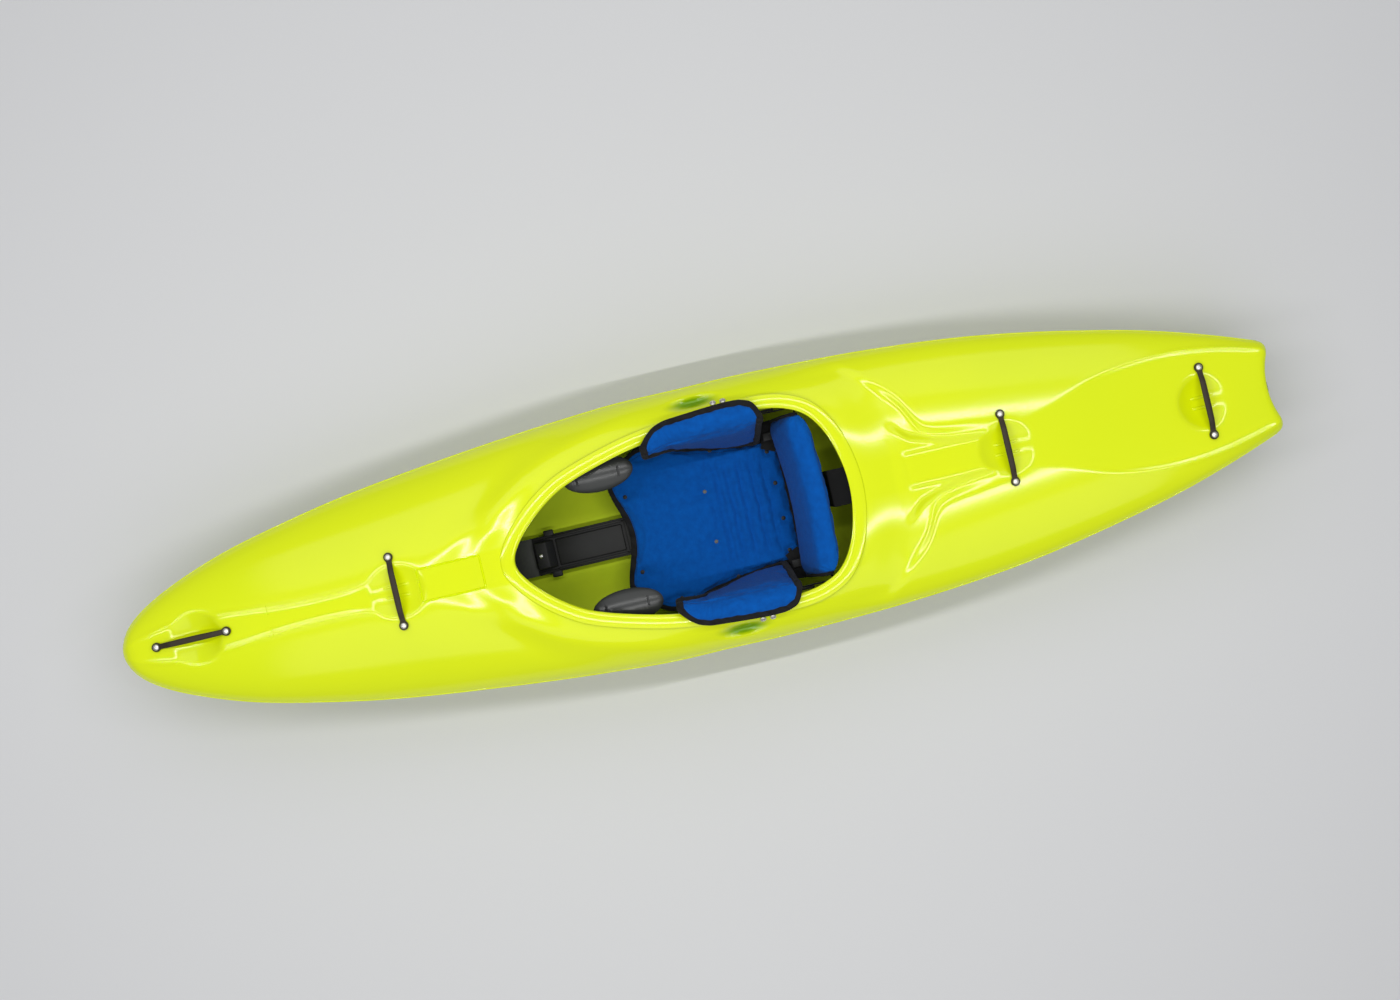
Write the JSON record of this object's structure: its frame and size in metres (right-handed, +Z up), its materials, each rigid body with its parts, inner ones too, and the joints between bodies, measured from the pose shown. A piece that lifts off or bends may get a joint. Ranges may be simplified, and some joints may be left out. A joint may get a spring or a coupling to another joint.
{
  "type": "whitewater kayak",
  "caption": "Short decked river kayak: hollow moulded shell with an oval cockpit, sliding padded seat, back band, thigh braces, foot rest and deck grab handles.",
  "frame": {"origin": "middle of the boat's length and width, on the flat of its bottom", "axes": "+X from bow to stern, +Y to the paddler's right, +Z up"},
  "size_m": [2.85, 0.6478, 0.36],
  "materials": {
    "shell_plastic": "bright yellow-green moulded polyethylene, satin gloss",
    "handle_plastic": "dark brown-black moulded plastic",
    "bolt_steel": "stainless steel bolt heads",
    "black_plastic": "black moulded plastic",
    "grey_plastic": "dark grey moulded plastic",
    "brace_plastic": "glossy dark grey plastic",
    "black_foam": "closed cell foam",
    "rail_aluminium": "anodised aluminium",
    "blue_fabric": "blue woven fabric over foam with black binding",
    "black_webbing": "black webbing"
  },
  "bodies": {
    "hull": {"hull_shell": "shell_plastic", "bow_grab_handle": "handle_plastic", "front_grab_handle": "handle_plastic", "rear_grab_handle": "handle_plastic", "stern_grab_handle": "handle_plastic", "bow_handle_bolt_1": "bolt_steel", "bow_handle_bolt_2": "bolt_steel", "front_handle_bolt_1": "bolt_steel", "front_handle_bolt_2": "bolt_steel", "rear_handle_bolt_1": "bolt_steel", "rear_handle_bolt_2": "bolt_steel", "stern_handle_bolt_1": "bolt_steel", "stern_handle_bolt_2": "bolt_steel", "right_side_bolt_1": "bolt_steel", "right_side_bolt_2": "bolt_steel", "left_side_bolt_1": "bolt_steel", "left_side_bolt_2": "bolt_steel", "seat_rail": "black_plastic", "rail_front_plate": "grey_plastic", "rail_bracket": "black_plastic", "rail_bracket_bolt": "bolt_steel", "front_foam_wall": "black_foam", "rear_foam_wall": "black_foam", "foot_rest_rail_right": "rail_aluminium", "foot_rest_rail_left": "rail_aluminium", "thigh_brace_rail_right": "black_plastic", "thigh_brace_rail_left": "black_plastic"},
    "foot_rest": {"foot_rest_plate": "black_plastic", "foot_rest_foam": "black_foam"},
    "seat": {"seat_base": "black_plastic", "seat_pad": "blue_fabric", "seat_wing_right": "black_plastic", "seat_wing_left": "black_plastic", "hip_pad_right": "blue_fabric", "hip_pad_left": "blue_fabric", "ratchet_base_right": "black_plastic", "ratchet_base_left": "black_plastic"},
    "backband": {"backband_pad": "blue_fabric", "backband_plate": "black_plastic", "backband_strap_right": "black_webbing", "backband_strap_left": "black_webbing"},
    "lever_right": {"ratchet_lever_right": "black_plastic"},
    "lever_left": {"ratchet_lever_left": "black_plastic"},
    "brace_right": {"thigh_brace_right": "brace_plastic", "thigh_brace_knob_right": "black_plastic"},
    "brace_left": {"thigh_brace_left": "brace_plastic", "thigh_brace_knob_left": "black_plastic"},
    "drain_plug": {"drain_plug": "black_plastic"}
  },
  "joints": [
    {"name": "seat_slide", "type": "slide", "parent": "hull", "child": "seat", "axis": [-1, 0, 0], "range_m": [0, 0.06]},
    {"name": "backband_slide", "type": "slide", "parent": "seat", "child": "backband", "axis": [1, 0, 0], "range_m": [-0.02, 0.012]},
    {"name": "ratchet_right", "type": "hinge", "parent": "seat", "child": "lever_right", "pos_m": [0.192, 0.2196, 0.228], "axis": [0, 0, 1], "range_deg": [0, 60], "stiffness_Nm_per_rad": 0.05},
    {"name": "ratchet_left", "type": "hinge", "parent": "seat", "child": "lever_left", "pos_m": [0.192, -0.2196, 0.228], "axis": [0, 0, -1], "range_deg": [0, 60], "stiffness_Nm_per_rad": 0.05},
    {"name": "thigh_brace_right_slide", "type": "slide", "parent": "hull", "child": "brace_right", "axis": [1, 0, 0], "range_m": [-0.02, 0.02]},
    {"name": "thigh_brace_left_slide", "type": "slide", "parent": "hull", "child": "brace_left", "axis": [1, 0, 0], "range_m": [-0.02, 0.02]},
    {"name": "foot_rest_slide", "type": "slide", "parent": "hull", "child": "foot_rest", "axis": [-1, 0, 0], "range_m": [0, 0.13]},
    {"name": "drain_plug_turn", "type": "hinge", "parent": "hull", "child": "drain_plug", "pos_m": [1.404, 0, 0.205], "axis": [1, 0, 0], "continuous": true}
  ]
}
